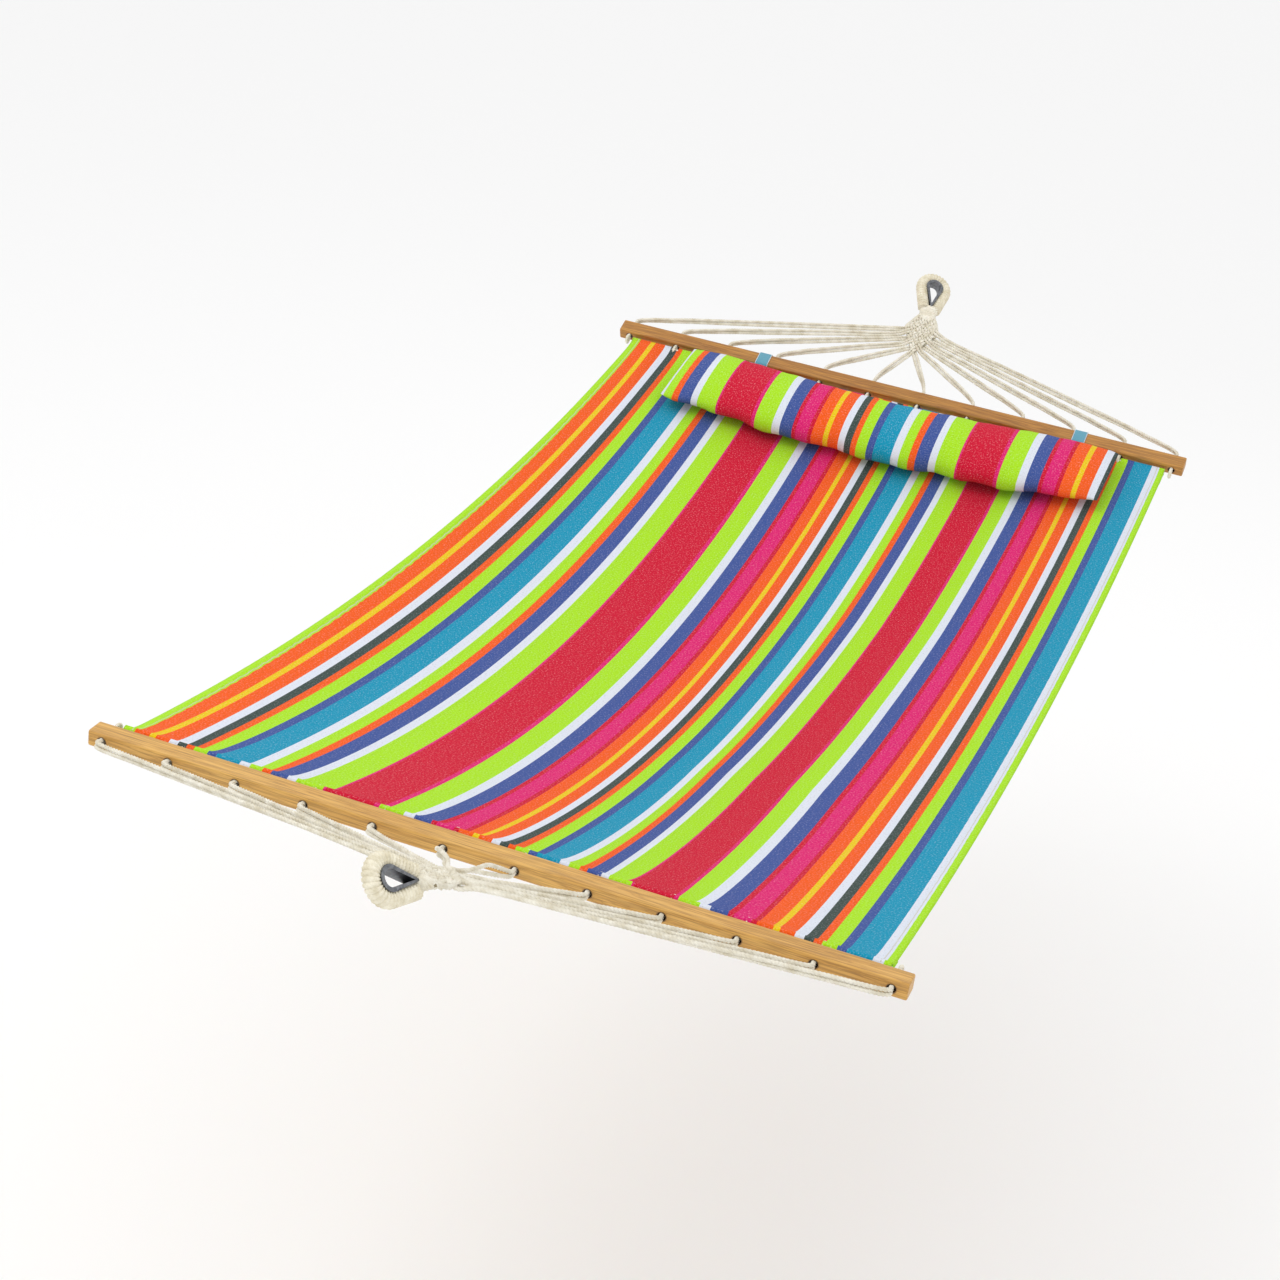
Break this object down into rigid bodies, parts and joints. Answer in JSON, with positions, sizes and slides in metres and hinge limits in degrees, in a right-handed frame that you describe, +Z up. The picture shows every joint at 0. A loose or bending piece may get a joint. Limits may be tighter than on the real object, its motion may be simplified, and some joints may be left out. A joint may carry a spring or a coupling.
{
  "type": "rope hammock",
  "caption": "Rope hammock with a striped cloth bed between two wooden spreader bars, fans of doubled ropes ending in thimble eyes, and a tied pillow.",
  "frame": {"origin": "the point of the head thimble that the hook bears on, inside its crown", "axes": "+X along the bars, +Y from the foot to the head, +Z up when hung"},
  "size_m": [1.219, 2.6786, 0.386],
  "materials": {
    "bar_wood": "oiled hardwood, satin",
    "rope_cotton": "twisted off-white rope",
    "serving_cord": "tight off-white whipping",
    "thimble_steel": "galvanised",
    "bed_cloth": "woven, lengthwise stripes",
    "pillow_cloth": "woven, crosswise stripes",
    "pillow_stuffing": "soft fibre",
    "strap_cloth": "woven strap"
  },
  "bodies": {
    "bed": {"bed_fabric": "bed_cloth", "head_hem_rope": "rope_cotton", "foot_hem_rope": "rope_cotton"},
    "head_bar": {"head_spreader_bar": "bar_wood", "head_rope_bights": "rope_cotton", "pillow_strap_left": "strap_cloth", "pillow_strap_right": "strap_cloth"},
    "foot_bar": {"foot_spreader_bar": "bar_wood", "foot_rope_bights": "rope_cotton"},
    "head_clew": {"head_nettle_01": "rope_cotton", "head_nettle_02": "rope_cotton", "head_nettle_03": "rope_cotton", "head_nettle_04": "rope_cotton", "head_nettle_05": "rope_cotton", "head_nettle_06": "rope_cotton", "head_nettle_07": "rope_cotton", "head_nettle_08": "rope_cotton", "head_nettle_09": "rope_cotton", "head_nettle_10": "rope_cotton", "head_nettle_11": "rope_cotton", "head_nettle_12": "rope_cotton", "head_clew_weave": "rope_cotton", "head_neck_knot": "rope_cotton", "head_eye_core": "rope_cotton", "head_eye_serving": "serving_cord", "head_thimble": "thimble_steel"},
    "foot_clew": {"foot_nettle_01": "rope_cotton", "foot_nettle_02": "rope_cotton", "foot_nettle_03": "rope_cotton", "foot_nettle_04": "rope_cotton", "foot_nettle_05": "rope_cotton", "foot_nettle_06": "rope_cotton", "foot_nettle_07": "rope_cotton", "foot_nettle_08": "rope_cotton", "foot_nettle_09": "rope_cotton", "foot_nettle_10": "rope_cotton", "foot_nettle_11": "rope_cotton", "foot_nettle_12": "rope_cotton", "foot_clew_weave": "rope_cotton", "foot_neck_knot": "rope_cotton", "foot_eye_core": "rope_cotton", "foot_eye_serving": "serving_cord", "foot_thimble": "thimble_steel"},
    "pillow": {"pillow_case": "pillow_cloth", "pillow_fill": "pillow_stuffing"}
  },
  "joints": [
    {"name": "head_bar_roll", "type": "hinge", "parent": "bed", "child": "head_bar", "pos_m": [0.01102, -0.27114, -0.18363], "axis": [1, 0, 0], "range_deg": [-84, 22]},
    {"name": "foot_bar_roll", "type": "hinge", "parent": "bed", "child": "foot_bar", "pos_m": [0.01102, -2.32214, -0.18363], "axis": [-1, 0, 0], "range_deg": [-60, 50]},
    {"name": "head_clew_swing", "type": "hinge", "parent": "head_bar", "child": "head_clew", "pos_m": [0.01102, -0.22364, -0.16248], "axis": [1, 0, 0], "range_deg": [-100, 60]},
    {"name": "foot_clew_swing", "type": "hinge", "parent": "foot_bar", "child": "foot_clew", "pos_m": [0.01102, -2.37414, -0.18363], "axis": [-1, 0, 0], "range_deg": [-108, 52]},
    {"name": "pillow_lift", "type": "hinge", "parent": "bed", "child": "pillow", "pos_m": [0.01102, -0.3, -0.158], "axis": [-1, 0, 0], "range_deg": [0, 50]}
  ]
}
